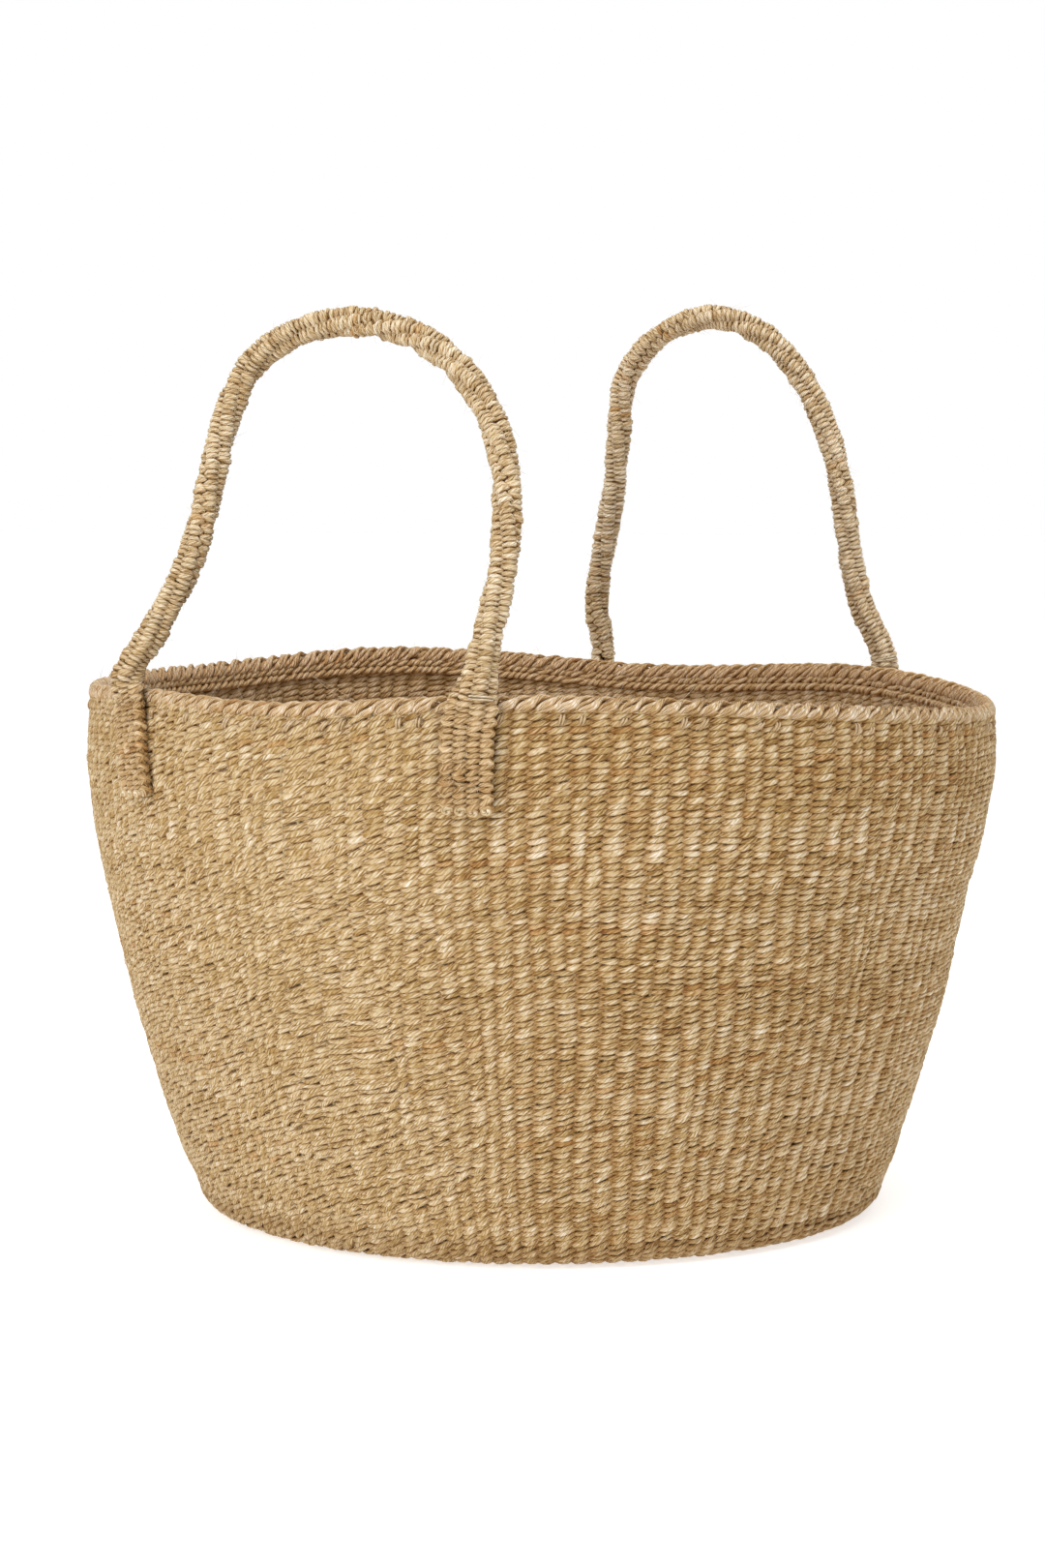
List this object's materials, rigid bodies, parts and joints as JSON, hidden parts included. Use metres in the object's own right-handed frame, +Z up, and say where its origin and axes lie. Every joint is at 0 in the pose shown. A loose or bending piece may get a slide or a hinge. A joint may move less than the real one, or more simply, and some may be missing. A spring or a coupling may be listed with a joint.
{
  "type": "kiondo basket",
  "caption": "Round open shopper twined from plant fibre, wider at the mouth, with two rolled strap handles that fold in over the mouth or out over the wall.",
  "frame": {"origin": "centre of the underside of the base", "axes": "+Z up through the mouth; the handles stand at -Y (front) and +Y (rear), with their hinge lines along X"},
  "size_m": [0.4, 0.4, 0.4052],
  "materials": {
    "sisal": "matt twined two-ply plant fibre",
    "sisal_shade": "matt twined two-ply plant fibre, darker",
    "sisal_pale": "matt twined two-ply plant fibre, paler"
  },
  "bodies": {
    "basket": {"base_weave": "sisal_shade", "wall_weave": "sisal", "rim_roll": "sisal_shade", "rim_braid": "sisal_pale", "front_left_tab": "sisal_pale", "front_right_tab": "sisal_pale", "rear_left_tab": "sisal_pale", "rear_right_tab": "sisal_pale"},
    "front_handle": {"front_handle": "sisal"},
    "rear_handle": {"rear_handle": "sisal"}
  },
  "joints": [
    {"name": "front_handle_swing", "type": "hinge", "parent": "basket", "child": "front_handle", "pos_m": [0, -0.18511, 0.2353], "axis": [1, 0, 0], "range_deg": [-67, 138]},
    {"name": "rear_handle_swing", "type": "hinge", "parent": "basket", "child": "rear_handle", "pos_m": [0, 0.18735, 0.2353], "axis": [-1, 0, 0], "range_deg": [-77, 128]}
  ]
}
